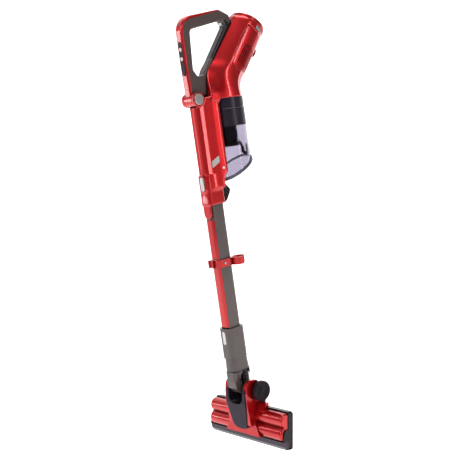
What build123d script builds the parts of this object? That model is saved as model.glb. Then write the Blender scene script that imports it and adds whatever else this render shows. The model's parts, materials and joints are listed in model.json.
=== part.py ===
"""Cordless stick vacuum cleaner, built as separate pieces.

Everything is drawn from the head pivot: X to the side, -Y to the front, +Z up along the wand.
save() then shifts each piece so that the origin is the centre of the hanging eye.
"""
import os
from math import cos, radians, sin, tan

from build123d import *

os.makedirs("parts", exist_ok=True)

# ---------------------------------------------------------------- driving dimensions (mm, degrees)
WALL = 2.5
GAP = 0.2
WAND_W = 34
WAND_D = 46
WAND_R = 10
WAND_BOTTOM = 120
WAND_TOP = 545
SOCKET_BOTTOM = 505
NECK_BOTTOM = 92
NECK_TOP = 175
SWIVEL_Z = 56
HOSE_Y = 22
HEAD_LEAN = 10.5
HEAD_W = 290
SOLE_Y = 56
HOUSING_R = 48
HOUSING_TILT = 39.5
HOUSING_LENGTH = 150
HOUSING_ORIGIN = (0, 110, 845)
LIP_LOW = 58
LIP_HIGH = 51.5
CUP_Y = 88
CUP_R = 48
CUP_TOP = 744
COLLAR_TOP = 772
RING_BOTTOM = 698
LID_TILT = 29
LID_CENTRE_Z = 594
HINGE_Y = -20
HINGE_Z = 777
HINGE_R = 18
HANDLE_W = 25
SPINE_BACK = 38
HOOK_EYE = (0, 54.2, 92)

HEAD = Location((0, 0, 0), (-HEAD_LEAN, 0, 0))
HOUSING = Location(HOUSING_ORIGIN, (-HOUSING_TILT, 0, 0))
SHIFT = Location(-(HOUSING * Location(HOOK_EYE)).position)


def save(piece, name, frame=Location()):
    """Write one piece, moved from its own drawing frame to the frame of the whole machine."""
    solid = piece.part.moved(SHIFT * frame)
    solid.label = name
    export_step(solid, f"parts/{name}.step")


def block(x, y, z, mode=Mode.ADD):
    """A plain box given by its limits along each axis."""
    with Locations(((x[0] + x[1]) / 2, (y[0] + y[1]) / 2, (z[0] + z[1]) / 2)):
        Box(x[1] - x[0], y[1] - y[0], z[1] - z[0], mode=mode)


def rod(radius, centre, length, axis="X", mode=Mode.ADD):
    """A round bar centred on a point, along one axis."""
    turn = {"X": (0, 90, 0), "Y": (90, 0, 0), "Z": (0, 0, 0)}[axis]
    with Locations(Location(centre, turn)):
        Cylinder(radius, length, mode=mode)


def column(width, depth, corner, z, y=0.0, mode=Mode.ADD):
    """A straight upright bar with rounded corners."""
    with BuildSketch(Plane.XY.offset(z[0])) as base:
        with Locations((0, y)):
            RectangleRounded(width, depth, corner)
    extrude(base.sketch, amount=z[1] - z[0], mode=mode)


def side_plate(points, x, rounds=(), mode=Mode.ADD):
    """A side outline in the YZ plane, carried across from x[0] to x[1]; rounds = (corner, radius)."""
    with BuildSketch(Plane.YZ.offset(x[0])) as side:
        with BuildLine():
            Polyline(*points, close=True)
        make_face()
        for corner, radius in rounds:
            near = side.vertices().sort_by_distance(Vector(*points[corner], 0))[0]
            fillet(near, radius)
    extrude(side.sketch, amount=x[1] - x[0], mode=mode)


# ================================================================= wand
def wand_tube():
    """Grey tube of the wand; its front is left flat for the red cover."""
    with BuildPart() as wand:
        column(WAND_W, WAND_D, WAND_R, (WAND_BOTTOM, WAND_TOP))
        block((-WAND_W, WAND_W), (-WAND_D, -18.4), (WAND_BOTTOM, WAND_TOP), Mode.SUBTRACT)
        inner = (WAND_W - 2 * WALL, WAND_D - 11)
        column(*inner, WAND_R - WALL, (WAND_BOTTOM, WAND_TOP), 2.6, Mode.SUBTRACT)
        # catch holes for the two release buttons
        block((-5, 5), (-20, -14), (547 - 12, 540), Mode.SUBTRACT)
        block((-5, 5), (-20, -14), (128, 136), Mode.SUBTRACT)
    return wand


def wand_cover():
    """Red strip that closes the front of the wand."""
    with BuildPart() as cover:
        column(WAND_W, WAND_D, WAND_R, (178, 466))
        block((-WAND_W, WAND_W), (-18.5, WAND_D), (178, 466), Mode.SUBTRACT)
    return cover


def tool_clip():
    """Collar round the wand with an open ring at the back that carries a spare nozzle."""
    low, high = 340, 360
    with BuildPart() as clip:
        column(WAND_W + 9, WAND_D + 9, WAND_R + 4, (low, high))
        rod(19, (24, 38, (low + high) / 2), high - low, "Z")
        rod(9, (-8, -31, (low + high) / 2), high - low, "Z")
        column(WAND_W + 2 * GAP, WAND_D + 2 * GAP, WAND_R + GAP, (low, high), mode=Mode.SUBTRACT)
        rod(16, (24, 38, (low + high) / 2), high - low, "Z", Mode.SUBTRACT)
        rod(5.5, (-8, -31.5, (low + high) / 2), high - low, "Z", Mode.SUBTRACT)
        block((-18, 1), (-45, -33), (low, high), Mode.SUBTRACT)
        # mouth of the open ring
        with Locations(Location((38, 52, (low + high) / 2), (0, 0, 45))):
            Box(22, 22, high - low, mode=Mode.SUBTRACT)
        # screw hole on the near side
        rod(1.6, (21, -8, (low + high) / 2), 12, "X", Mode.SUBTRACT)
    return clip


def clip_screw():
    """Small screw that pinches the clip on the wand."""
    with BuildPart() as screw:
        rod(3, (22.6, -8, 350), 2, "X")
        rod(1.5, (19.9, -8, 350), 4, "X")
        block((22.6, 24), (-8.5, -7.5), (348, 352), Mode.SUBTRACT)
    return screw


# ================================================================= neck and swivel
def neck_collar():
    """Grey sleeve at the bottom of the wand; its lower part flares toward the back."""
    with BuildPart() as collar:
        column(44, 58, 13, (NECK_BOTTOM, NECK_TOP), 1)
        for height, width, depth, y in ((NECK_BOTTOM + 6, 43, 57, 2), (SWIVEL_Z + 2, 43, 62, 3)):
            with BuildSketch(Plane.XY.offset(height)):
                with Locations((0, y)):
                    RectangleRounded(width, depth, 17)
        loft()
        column(WAND_W + 2 * GAP, WAND_D + 2 * GAP, WAND_R + GAP, (WAND_BOTTOM - 0.5, NECK_TOP), mode=Mode.SUBTRACT)
        rod(13, (0, 4, 90), 80, "Z", Mode.SUBTRACT)
        # seat of the release button
        with BuildSketch(Plane.XZ.offset(20)):
            with Locations((0, 150)):
                SlotOverall(38, 12, rotation=90)
        extrude(amount=15, mode=Mode.SUBTRACT)
    return collar


def push_button(centre_z, front_y, length, width, depth):
    """Oval push button that faces the front, with a softened rim."""
    with BuildPart() as button:
        with BuildSketch(Plane.XZ.offset(-front_y - depth)):
            with Locations((0, centre_z)):
                SlotOverall(length, width, rotation=90)
        extrude(amount=depth)
        fillet(button.faces().sort_by(Axis.Y)[0].edges(), 1.2)
    return button


def swivel_ring():
    """Thin black ring that shows as a seam under the neck, with the hood over the hose behind it."""
    with BuildPart() as ring:
        with BuildSketch(Plane.XY.offset(SWIVEL_Z - 1.6)):
            with Locations((0, 3)):
                RectangleRounded(41.5, 60, 16)
        extrude(amount=3.2)
        rod(13.2, (0, 4, SWIVEL_Z), 10, "Z", Mode.SUBTRACT)
        with BuildPart(mode=Mode.PRIVATE) as hood:
            rod(17.6, (0, HOSE_Y, 49), 17, "Z")
            fillet(hood.edges().group_by(Axis.Z)[-1], 2)
            rod(15.2, (0, HOSE_Y, 49), 20, "Z", Mode.SUBTRACT)
            block((-40, 40), (-40, HOSE_Y + 6), (30, 60), Mode.SUBTRACT)
        add(hood.part)
        rod(12, (0, HOSE_Y - 5, 54), 20, "Z", Mode.SUBTRACT)
    return ring


def swivel_fork():
    """Grey fork: a round head under the neck and a leg that ends in the pivot barrel."""
    with BuildPart() as fork:
        for height, width, depth, y in ((54.2, 40, 34, -9.5), (30, 35, 18, -18.5)):
            with BuildSketch(Plane.XY.offset(height)):
                with Locations((0, y)):
                    RectangleRounded(width, depth, 8)
        loft()
        side_plate([(-27, 34), (-25, 12), (-9, -7), (6.5, -4), (6.5, 6), (-8, 20), (-10, 34)], (-16, 16),
                   [(1, 10), (2, 4)])
        rod(7, (0, 0, 0), 53, "X")
        rod(12.4, (0, 4, 42.3), 23.8, "Z", Mode.SUBTRACT)
        rod(15.2, (0, HOSE_Y, 20), 90, "Z", Mode.SUBTRACT)
        rod(3.1, (0, 0, 0), 60, "X", Mode.SUBTRACT)
    return fork


def bellows_hose():
    """Ribbed rubber hose between the fork and the head."""
    ribs = 6
    top = 53.6
    bottom = -35
    pitch = (top - bottom) / ribs
    with BuildPart() as hose:
        with BuildSketch(Plane.XZ):
            with BuildLine():
                points = [(10.5, bottom), (12, bottom)]
                for rib in range(ribs):
                    foot = bottom + rib * pitch
                    points += [(14.4, foot + pitch * 0.3), (14.4, foot + pitch * 0.7), (12, foot + pitch)]
                points += [(10.5, top)]
                Polyline(*points, close=True)
            make_face()
        revolve(axis=Axis.Z)
    hose.part = hose.part.moved(Location((0, HOSE_Y, 0)))
    return hose


# ================================================================= main body
SPINE_SECTION = [(-12, -24), (-18, -18), (-21, -6), (-30, 17), (-34, 30), (-33, SPINE_BACK),
                 (33, SPINE_BACK), (34, 30), (30, 17), (21, -6), (18, -18), (12, -24)]
SHOULDER_SECTION = [(-21, -6), (-30, 17), (-34, 30), (-46.6, 76), (46.6, 76), (34, 30), (30, 17), (21, -6)]
SPINE_SIDE = [(-30, 545), (-30, 777), (-3, 779.5), (20, 781), (27, 820), (46, 868), (76, 900), (76, COLLAR_TOP),
              (SPINE_BACK, COLLAR_TOP), (SPINE_BACK, 585), (28, 574), (24, 545)]
TROUGH_SIDE = [(-80, 783), (20.9, 783), (27.9, 821.5), (31.6, 826.6), (129.6, 945.4), (139.2, 967), (134.4, 986),
               (134.4, 1100), (-80, 1100)]


# the flared wall of the body faces (13, -4) where the screws sit
SCREW_SEATS = [Plane(origin=(side * 32.2, 24, 596), z_dir=(side * 13, -4, 0)).location for side in (-1, 1)]


def spine_section(height, inset):
    """Cross outline of the front body: narrow at the front, flared toward the dust cup."""
    with BuildSketch(Plane.XY.offset(height)) as section:
        with BuildLine():
            Polyline(*SPINE_SECTION, close=True)
        make_face()
        fillet(section.vertices().group_by(Axis.Y)[0], 3)
        if inset:
            offset(amount=-inset, mode=Mode.REPLACE)
    return section


def housing_envelope(shrink=0.0):
    """Outer volume of the motor housing: an upright length over the cup, bent back by the tilt."""
    radius = HOUSING_R - shrink
    axis_y = CUP_Y
    bend_z = HOUSING_ORIGIN[2] - (HOUSING_ORIGIN[1] - CUP_Y) / tan(radians(HOUSING_TILT))
    half = HOUSING_TILT / 2
    mitre = Plane(Location((0, axis_y, bend_z), (-half, 0, 0)))
    with BuildPart() as upright:
        rod(radius, (0, axis_y, (COLLAR_TOP + 880) / 2), 880 - COLLAR_TOP, "Z")
        split(bisect_by=mitre, keep=Keep.BOTTOM)
    with BuildPart() as tilted:
        rod(radius, (0, 0, (HOUSING_LENGTH - 12 - 110) / 2), HOUSING_LENGTH - 12 + 110, "Z")
    tilted.part = tilted.part.moved(HOUSING)
    with BuildPart() as upper:
        add(tilted.part)
        split(bisect_by=mitre, keep=Keep.TOP)
    with BuildPart() as envelope:
        add(upright.part)
        add(upper.part)
    return envelope


def housing_saddle():
    """Tapering wedge on the front of the housing; its two lips stand beside the rear bar of the handle."""
    with BuildPart() as saddle:
        for height, lip, root in ((-32, LIP_LOW, 28), (126, LIP_HIGH, 22)):
            with BuildSketch(Plane.XY.offset(height)):
                with BuildLine():
                    Polyline((-15.8, -lip), (-41, -root), (-41, 0), (41, 0), (41, -root), (15.8, -lip), close=True)
                make_face()
        loft(ruled=True)
    saddle.part = saddle.part.moved(HOUSING)
    with BuildPart() as hollowed:
        add(saddle.part)
        side_plate(TROUGH_SIDE, (-13.2, 13.2), mode=Mode.SUBTRACT)
    return hollowed


def motor_housing():
    """Red housing of the motor with vent windows on both sides and the hanging eye at the back."""
    with BuildPart() as housing:
        add(housing_envelope().part)
        add(housing_saddle().part)
        side_plate(TROUGH_SIDE, (-13.2, 13.2), mode=Mode.SUBTRACT)
        add(housing_envelope(WALL).part, mode=Mode.SUBTRACT)
        for side in (-1, 1):
            with BuildPart(mode=Mode.PRIVATE) as window:
                block((side * 40 - 12, side * 40 + 12), (-14, 28), (8, 70))
            add(window.part.moved(HOUSING), mode=Mode.SUBTRACT)
        add(latch_block(0.6, -6, 8).part.moved(HOUSING), mode=Mode.SUBTRACT)
        add(wall_hook().part.moved(HOUSING))
    return housing


def motor_cap():
    """Domed red cap over the exhaust filter."""
    with BuildPart() as cap:
        with BuildSketch(Plane.YZ):
            with BuildLine():
                edge = Polyline((0, 138.2), (49.5, 138.2), (49.5, 145))
                top = Line((0, 151.5), (40, 150.5))
                Bezier(edge @ 1, (49.5, 149.5), (46, 150.2), top @ 1)
                Line(top @ 0, edge @ 0)
            make_face()
        revolve(axis=Axis.Z)
        rod(44, (0, 0, 141), 6, "Z", Mode.SUBTRACT)
    return cap


LATCH_TURN = 10
LATCH_Z = 129
LATCH_FACE = Plane(origin=(HOUSING_R * cos(radians(LATCH_TURN)), HOUSING_R * sin(radians(LATCH_TURN)), LATCH_Z),
                   x_dir=(-sin(radians(LATCH_TURN)), cos(radians(LATCH_TURN)), 0),
                   z_dir=(cos(radians(LATCH_TURN)), sin(radians(LATCH_TURN)), 0))


def latch_block(grow, low, high):
    """Rounded block on the side of the housing, from a depth under its skin to a height over it."""
    with BuildPart() as piece:
        with BuildSketch(LATCH_FACE.offset(low)) as face:
            RectangleRounded(20.6 + grow, 12 + grow, 3 + grow / 2)
        extrude(face.sketch, amount=high - low)
    return piece


def cap_latch():
    """Silver button under the cap that frees it."""
    with BuildPart() as latch:
        add(latch_block(0, -3, 0.8).part)
        fillet(latch.faces().sort_by(Axis.X)[-1].edges(), 0.6)
    return latch


def vent_panel(side):
    """Curved louvre panel on one side of the housing."""
    with BuildPart() as panel:
        rod(HOUSING_R + 2.2, (0, 0, 60), 160, "Z")
        rod(HOUSING_R + 0.05, (0, 0, 60), 160, "Z", Mode.SUBTRACT)
        with BuildSketch(Plane.YZ.offset(side * 10)) as face:
            with BuildLine():
                Polyline((-23, 117), (24, 111), (31, 60), (26, 6), (-6, -7), (-21, 0), (-29, 71), close=True)
            make_face()
            fillet(face.vertices(), 5)
        extrude(amount=side * 60, mode=Mode.INTERSECT)
        for slot in range(7):
            y = -11 + slot * 6
            with BuildSketch(Plane.YZ.offset(side * 20)):
                with Locations((y, 39)):
                    SlotOverall(66 - 3 * abs(slot - 3), 2.6, rotation=90)
            extrude(amount=side * 60, mode=Mode.SUBTRACT)
    return panel


def vent_panels():
    """Louvre panels of both sides."""
    with BuildPart() as panels:
        for side in (-1, 1):
            add(vent_panel(side).part)
    return panels


def exhaust_filter():
    """Pleated disc under the cap."""
    pleats = 28
    with BuildPart() as pad:
        rod(43, (0, 0, 128), 18, "Z")
        rod(12, (0, 0, 128), 18, "Z", Mode.SUBTRACT)
        with BuildSketch(Plane.XY.offset(130)):
            with PolarLocations(0, pleats):
                with Locations((28, 0)):
                    Rectangle(22, 1.6)
        extrude(amount=8, mode=Mode.SUBTRACT)
    return pad


def motor_mount():
    """Rubber cup that holds the motor clear of the housing."""
    with BuildPart() as mount:
        rod(HOUSING_R - WALL, (0, 0, 108), 10, "Z")
        rod(34.1, (0, 0, 108), 10, "Z", Mode.SUBTRACT)
        rod(HOUSING_R - WALL, (0, 0, 52), 8, "Z")
        rod(34.1, (0, 0, 52), 8, "Z", Mode.SUBTRACT)
        for turn in (90, 270):
            with Locations(Location((0, 0, 78), (0, 0, turn))):
                with Locations((40, 0, 0)):
                    Box(6, 12, 60)
    return mount


def suction_motor():
    """Motor can with its core and the stub of its shaft."""
    with BuildPart() as motor:
        rod(34, (0, 0, 80), 62, "Z")
        rod(32.4, (0, 0, 80), 58, "Z", Mode.SUBTRACT)
        rod(13, (0, 0, 80), 58, "Z")
        rod(12, (0, 0, 113), 6, "Z")
        rod(3, (0, 0, 36), 28, "Z")
        with PolarLocations(24, 8):
            with Locations((0, 0, 110)):
                Cylinder(4, 4, mode=Mode.SUBTRACT)
    return motor


def impeller():
    """Fan wheel on the motor shaft, with curved blades between two plates."""
    blades = 9
    with BuildPart() as fan:
        rod(32, (0, 0, 45.5), 2, "Z")
        rod(7, (0, 0, 38), 16, "Z")
        for turn in range(blades):
            with BuildSketch(Plane.XY.offset(31)):
                with Locations(Location((0, 0, 0), (0, 0, turn * 360 / blades))):
                    with Locations(Location((18, 4, 0), (0, 0, 25))):
                        Rectangle(25, 1.5)
            extrude(amount=14)
        rod(3.05, (0, 0, 38), 30, "Z", Mode.SUBTRACT)
    return fan


def spine_shell():
    """Red front body: hinge ears on top, room for the battery, wand socket at the bottom."""
    bottom = 545
    with BuildPart() as spine:
        extrude(spine_section(bottom, 0).sketch, amount=900 - bottom)
        with BuildSketch(Plane.XY.offset(COLLAR_TOP)) as shoulder:
            with BuildLine():
                Polyline(*SHOULDER_SECTION, close=True)
            make_face()
        extrude(shoulder.sketch, amount=130)
        side_plate(SPINE_SIDE, (-60, 60), mode=Mode.INTERSECT)
        column(41, 53, 13, (SOCKET_BOTTOM, 582), 0.5)
        # front tongue that runs down over the wand
        with BuildSketch(Plane.XZ.offset(19)):
            with Locations((0, 500)):
                SlotOverall(64, 30, rotation=90)
        extrude(amount=6)
        # raised oval round the release button
        with BuildSketch(Plane.XZ.offset(22)):
            with Locations((0, 561)):
                SlotOverall(46, 24, rotation=90)
        extrude(amount=6)
        for x in (-20, 20):
            rod(HINGE_R, (x, HINGE_Y, HINGE_Z), 10, "X")
        # room for the knuckle of the handle and for its foot
        rod(HINGE_R + 1, (0, HINGE_Y, HINGE_Z), 30, "X", Mode.SUBTRACT)
        block((-15, 15), (-60, HINGE_Y), (HINGE_Z - 19, 830), Mode.SUBTRACT)
        side_plate(TROUGH_SIDE, (-13.2, 13.2), mode=Mode.SUBTRACT)
        rod(4.1, (0, HINGE_Y, HINGE_Z), 80, "X", Mode.SUBTRACT)
        for x in (-23.5, 23.5):
            rod(14.5, (x, HINGE_Y, HINGE_Z), 4, "X", Mode.SUBTRACT)
        # bore for the wand
        column(WAND_W + 2 * GAP, WAND_D + 2 * GAP, WAND_R + GAP, (400, WAND_TOP + 0.5), mode=Mode.SUBTRACT)
        # battery room
        extrude(spine_section(582, WALL).sketch, amount=176, mode=Mode.SUBTRACT)
        # channel from the wand to the dust cup
        rod(13, (0, 4, 562), 44, "Z", Mode.SUBTRACT)
        rod(13, (0, 30, 600), 20, "Y", Mode.SUBTRACT)
        # seat of the release button
        with BuildSketch(Plane.XZ.offset(22.5)):
            with Locations((0, 561)):
                SlotOverall(38, 16, rotation=90)
        extrude(amount=15, mode=Mode.SUBTRACT)
        # slot for the dust cup lever
        block((-8.3, 8.3), (20, 45), (522, 562), Mode.SUBTRACT)
        # charging socket on the far side, and the two screw holes
        rod(3.6, (-30, 22, 705), 20, "X", Mode.SUBTRACT)
        with Locations(*SCREW_SEATS):
            Cylinder(1.6, 14, mode=Mode.SUBTRACT)
        add(housing_envelope().part, mode=Mode.SUBTRACT)
        add(housing_saddle().part, mode=Mode.SUBTRACT)
        add(handle_liner().part.moved(HOUSING), mode=Mode.SUBTRACT)
        # gap that lets the dust cup slide back
        block((-60, 60), (SPINE_BACK + 1, 80), (500, COLLAR_TOP), Mode.SUBTRACT)
    return spine


def handle_liner():
    """Pale trim strips along the two lips beside the rear bar of the handle."""
    with BuildPart() as liner:
        for height, lip in ((-30, LIP_LOW), (124, LIP_HIGH + 0.2)):
            with BuildSketch(Plane.XY.offset(height)):
                with Locations((14.5, -lip - 0.8)):
                    Rectangle(2.4, 1.6)
        loft(ruled=True)
        mirror(about=Plane.YZ)
    return liner


def wall_hook():
    """Red eye on the back of the housing that hangs on a wall peg."""
    with BuildPart() as hook:
        with BuildSketch(Plane.YZ.offset(-8)) as side:
            with BuildLine():
                Polyline((46, 74), (53, 76), (60, 84), (60, 100), (53, 108), (46, 110), close=True)
            make_face()
            fillet(side.vertices().group_by(Axis.X)[-1], 4)
        extrude(amount=16)
        rod(HOUSING_R, (0, 0, 60), 200, "Z", Mode.SUBTRACT)
        rod(3.5, HOOK_EYE, 40, "X", Mode.SUBTRACT)
    return hook


def battery_cells():
    """Six round cells, three in each of two layers."""
    with BuildPart() as cells:
        for low in (618.6, 685.6):
            for x, y in ((0, -9), (-11.5, 11), (11.5, 11)):
                rod(9.1, (x, y, low + 32.5), 65, "Z")
    return cells


def battery_holder():
    """Plastic cradle that keeps the cells together."""
    with BuildPart() as holder:
        for low in (616.4, 683.6, 750.8):
            with BuildSketch(Plane.XY.offset(low)) as plate:
                with BuildLine():
                    Polyline((-11, -19), (11, -19), (22.6, 6), (22.6, 22), (-22.6, 22), (-22.6, 6), close=True)
                make_face()
                fillet(plate.vertices(), 3)
            extrude(amount=2)
        for x in (-21.7, 21.7):
            block((x - 0.9, x + 0.9), (8, 18), (618.4, 750.8))
    return holder


def circuit_board():
    """Control board behind the battery, with a few parts on it."""
    with BuildPart() as board:
        block((-24, 24), (26, 27.6), (640, 738))
        block((-12, 0), (27.6, 32), (690, 702))
        block((6, 16), (27.6, 33), (650, 664))
        rod(4, (14, 30.5, 715), 6, "Y")
        rod(4, (-14, 30.5, 660), 6, "Y")
    return board


def air_duct():
    """Bent pipe from the top of the wand to the back of the body."""
    with BuildPart() as duct:
        with BuildLine() as path:
            start = Line((0, 4, 546), (0, 4, 582))
            bend = TangentArc(start @ 1, (0, 22, 600), tangent=start % 1)
            Line(bend @ 1, (0, 39.5, 600))
        for radius, mode in ((12.8, Mode.ADD), (11, Mode.SUBTRACT)):
            with BuildSketch(Plane.XY.offset(546)):
                with Locations((0, 4)):
                    Circle(radius)
            sweep(path=path.wire(), mode=mode)
    return duct


def cup_lever():
    """Black lever under the cup that lets it go."""
    with BuildPart() as lever:
        side_plate([(28, 530), (28, 555), (42, 557), (58, 553), (61, 544), (54, 526), (42, 509), (33, 504),
                    (31, 509), (40, 524)], (-8, 8), [(2, 6), (3, 4), (4, 6), (5, 12), (6, 10)])
        rod(1.6, (0, 34, 542), 30, "X", Mode.SUBTRACT)
        # hollow back that stays clear of the lid as it swings
        rod(120.4, LID_HINGE, 20, "X", Mode.SUBTRACT)
    return lever


def hinge_pins():
    """Steel pins of the handle hinge and of the cup lever."""
    with BuildPart() as pins:
        rod(4, (0, HINGE_Y, HINGE_Z), 42.5, "X")
        rod(1.5, (0, 34, 542), 16.5, "X")
    return pins


def hinge_button(side):
    """Round silver button at one end of the handle hinge."""
    with BuildPart() as button:
        rod(14, (side * 25.1, HINGE_Y, HINGE_Z), 2.8, "X")
        outer = button.faces().sort_by(Axis.X)[-1 if side > 0 else 0]
        fillet(outer.edges(), 1.2)
    return button


def side_badges():
    """Plain silver trim plate on each side of the body."""
    # the flared side wall runs from (21, -6) to (30, 17)
    wall = Plane(origin=(25.5, 5.5, 614), x_dir=(9, 23, 0), z_dir=(23, -9, 0))
    with BuildPart() as badges:
        with BuildSketch(wall) as face:
            with BuildLine():
                Polyline((-10.5, -15), (10.5, -2), (10.5, 15), (-10.5, 2), close=True)
            make_face()
            fillet(face.vertices(), 1.5)
        extrude(face.sketch, amount=0.9)
        mirror(about=Plane.YZ)
    return badges


def body_screws():
    """Two screws that hold the side walls, one on each side."""
    with BuildPart() as screws:
        with Locations(*SCREW_SEATS):
            Cylinder(3, 1.2, align=(Align.CENTER, Align.CENTER, Align.MIN))
            Cylinder(1.5, 6, align=(Align.CENTER, Align.CENTER, Align.MAX))
    return screws


def dc_jack():
    """Charging socket on the far side of the body."""
    with BuildPart() as jack:
        rod(3.5, (-27.6, 22, 705), 9, "X")
        rod(2.8, (-29, 22, 705), 8, "X", Mode.SUBTRACT)
        rod(1.0, (-27.8, 22, 705), 8, "X")
    return jack


# ================================================================= dust cup
LID_PLANE = Plane(Location((0, CUP_Y + 4, LID_CENTRE_Z), (LID_TILT, 0, 0)))


def cup_collar():
    """Dark band between the housing and the dust cup, with the air passage in it."""
    with BuildPart() as collar:
        rod(47.9, (0, CUP_Y, (CUP_TOP + COLLAR_TOP) / 2), COLLAR_TOP - CUP_TOP - 0.6, "Z")
        rod(30, (0, CUP_Y, (CUP_TOP + COLLAR_TOP) / 2), 60, "Z", Mode.SUBTRACT)
        block((-60, 60), (-20, SPINE_BACK + 8), (700, 790), Mode.SUBTRACT)
    return collar


def dust_cup():
    """Clear cup with a slanted open bottom and an inlet facing the body."""
    with BuildPart() as cup:
        with BuildPart(mode=Mode.PRIVATE) as tube:
            rod(CUP_R, (0, CUP_Y, 620), 160, "Z")
            split(bisect_by=LID_PLANE, keep=Keep.TOP)
        add(tube.part)
        rod(CUP_R - 2.2, (0, CUP_Y, 620), 200, "Z", Mode.SUBTRACT)
        block((-80, 80), (0, 160), (RING_BOTTOM + 0.0, 720), Mode.SUBTRACT)
        rod(11.5, (0, 44, 600), 20, "Y", Mode.SUBTRACT)
    return cup


def cup_ring():
    """Black ring that crowns the cup and carries the shroud."""
    with BuildPart() as ring:
        rod(48.3, (0, CUP_Y, (RING_BOTTOM + CUP_TOP) / 2), CUP_TOP - RING_BOTTOM - 0.4, "Z")
        fillet(ring.edges().filter_by(GeomType.CIRCLE), 0.4)
        rod(44, (0, CUP_Y, RING_BOTTOM + 25), 60, "Z", Mode.SUBTRACT)
        for turn in range(0, 360, 60):
            with Locations(Location((0, CUP_Y, RING_BOTTOM + 4), (0, 0, turn))):
                with Locations((33.7, 0, 0)):
                    Box(22.4, 3, 6)
    return ring


def cyclone_shroud():
    """Dark perforated core with a flared skirt."""
    rows = 7
    around = 16
    with BuildPart() as shroud:
        with BuildSketch(Plane.XZ):
            with BuildLine():
                Polyline((20, 701.5), (22.5, 701.5), (22.5, 662), (31, 650), (31, 646), (0, 646), (0, 649),
                         (20, 658), close=True)
            make_face()
        revolve(axis=Axis.Z)
        for row in range(rows):
            with Locations((0, 0, 666 + row * 4.6)):
                with PolarLocations(21, around, start_angle=row * 11):
                    Cylinder(1.3, 8, rotation=(0, 90, 0), mode=Mode.SUBTRACT)
    shroud.part = shroud.part.moved(Location((0, CUP_Y, 0)))
    return shroud


def cup_filter():
    """Pleated filter in the ring over the shroud."""
    pleats = 24
    with BuildPart() as pad:
        rod(43.6, (0, CUP_Y, 725.35), 37.7, "Z")
        rod(16, (0, CUP_Y, 721), 31, "Z", Mode.SUBTRACT)
        with BuildSketch(Plane.XY.offset(728)):
            with Locations((0, CUP_Y)):
                with PolarLocations(0, pleats):
                    with Locations((30, 0)):
                        Rectangle(18, 1.8)
        extrude(amount=20, mode=Mode.SUBTRACT)
    return pad


def lid_outline(margin):
    """Oval that the slanted plane cuts from the cup, grown by a margin."""
    stretch = 1 / cos(radians(LID_TILT))
    centre_y = (CUP_Y - (CUP_Y + 4)) * stretch
    with Locations((0, centre_y)):
        Ellipse(CUP_R + margin, CUP_R * stretch + margin)


def cup_lid():
    """Clear slanted flap that closes the bottom of the cup."""
    with BuildPart() as lid:
        with BuildSketch(LID_PLANE.offset(-0.4)):
            lid_outline(-1.2)
        extrude(amount=-3.0)
    return lid


def lid_rim():
    """Dark rim round the lid with its hinge eye at the back and a catch at the front."""
    with BuildPart() as rim:
        with BuildSketch(LID_PLANE.offset(-0.4)):
            lid_outline(3)
            lid_outline_inner = CUP_R / cos(radians(LID_TILT))
            with Locations((0, -4 / cos(radians(LID_TILT)))):
                Ellipse(CUP_R - 1.2, lid_outline_inner - 1.2, mode=Mode.SUBTRACT)
        extrude(amount=-6.5)
        rod(3.2, LID_HINGE, 13.6, "X")
        side_plate([(138, 612), (141, 611.5), (144.8, 621), (141.6, 625.5), (138.6, 623), (137.4, 617.5)], (-6.8, 6.8))
        rod(1.6, LID_HINGE, 60, "X", Mode.SUBTRACT)
    return rim


LID_HINGE = (0, 141.6, 622.5)


def lid_bracket():
    """Two ears on the back of the cup with the lid pin between them."""
    with BuildPart() as bracket:
        for x in (-9.5, 9.5):
            rod(3.2, (x, LID_HINGE[1], LID_HINGE[2]), 4, "X")
            side_plate([(134, 622.5), (144.8, 622.5), (143.6, 636), (139, 645), (134, 646)], (x - 2, x + 2))
        rod(1.5, LID_HINGE, 23, "X")
        rod(CUP_R, (0, CUP_Y, 620), 300, "Z", Mode.SUBTRACT)
    return bracket


# ================================================================= handle
HANDLE_OUTLINE = [(-34, 784), (-36.5, 870), (-36.5, 983), (100, 1000), (133, 985), (138, 967), (128.6, 946.2),
                  (30.7, 827.4), (27, 821.5), (20, 784)]
HANDLE_OPENING = [(-6, 952), (105, 971), (115, 957), (18, 837), (0, 834), (-13, 852)]
STRIP_LINE = [(-28.5, 760), (-30, 870), (-30, 974), (98, 996), (101, 1020), (180, 1020), (180, 760)]


def handle_body():
    """Closed loop of the handle before it is parted into the red strip and the grey frame."""
    half = HANDLE_W / 2
    with BuildPart() as loop:
        side_plate(HANDLE_OUTLINE, (-half, half), [(2, 42), (3, 20), (4, 8), (5, 8)])
        fillet(loop.faces().filter_by(Axis.X).edges(), 5)
        side_plate(HANDLE_OPENING, (-half, half), [(0, 12), (1, 6), (2, 8), (3, 7), (4, 9), (5, 12)], Mode.SUBTRACT)
        for face in loop.faces().filter_by(Axis.X):
            fillet(face.inner_wires()[0].edges(), 4.5)
    return loop


def handle_shell():
    """Glossy red strip on the outside of the handle, with the hinge knuckle."""
    with BuildPart() as shell:
        add(handle_body().part)
        side_plate(STRIP_LINE, (-30, 30), [(2, 34)], Mode.SUBTRACT)
        # shallow seat of the control panel
        with BuildSketch(Plane.XZ.offset(31)):
            with Locations((0, 882)):
                SlotOverall(86, 15, rotation=90)
        extrude(amount=20, mode=Mode.SUBTRACT)
        rod(HINGE_R - 0.6, (0, HINGE_Y, HINGE_Z), 29, "X")
        rod(4.1, (0, HINGE_Y, HINGE_Z), 60, "X", Mode.SUBTRACT)
    return shell


def handle_frame():
    """Warm grey inner frame of the handle; its foot stands behind the hinge."""
    with BuildPart() as frame:
        add(handle_body().part)
        side_plate(STRIP_LINE, (-30, 30), [(2, 34)], Mode.INTERSECT)
        rod(HINGE_R - 0.6, (0, HINGE_Y, HINGE_Z), 29, "X", Mode.SUBTRACT)
        block((-5.2, 5.2), (106, 126), (958, 968), Mode.SUBTRACT)
    return frame


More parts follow.
